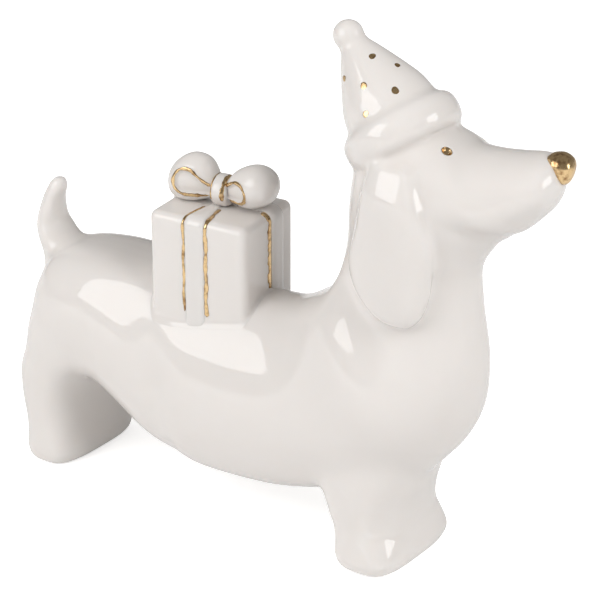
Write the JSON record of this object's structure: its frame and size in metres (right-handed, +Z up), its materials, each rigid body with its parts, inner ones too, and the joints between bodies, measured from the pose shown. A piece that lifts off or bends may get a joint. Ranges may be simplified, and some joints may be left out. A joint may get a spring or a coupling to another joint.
{
  "type": "porcelain dog figurine",
  "caption": "White glazed porcelain dachshund ornament in a party hat, carrying a gift box with a bow on its back, with gold lustre eyes, nose, dots and ribbon edges.",
  "frame": {"origin": "on the ground, under the middle of the figurine's bounding box", "axes": "+X forward to the nose, +Y to the dog's left, +Z up"},
  "size_m": [0.1481, 0.0366, 0.1296],
  "materials": {
    "porcelain": "clear glossy glaze",
    "gold": "bright fired gold lustre"
  },
  "bodies": {
    "root": {"trunk": "porcelain", "front_legs": "porcelain", "rear_legs": "porcelain", "tail": "porcelain", "head": "porcelain", "nose": "gold", "eye_right": "gold", "eye_left": "gold", "ear_right": "porcelain", "ear_left": "porcelain", "hat_brim": "porcelain", "hat_cone": "porcelain", "hat_pompom": "porcelain", "hat_dots": "gold", "gift_box": "porcelain", "ribbon_lengthwise": "porcelain", "ribbon_crosswise": "porcelain", "bow_loop_front": "porcelain", "bow_loop_rear": "porcelain", "bow_knot": "porcelain", "ribbon_lines": "gold", "bow_lines": "gold"}
  },
  "joints": []
}
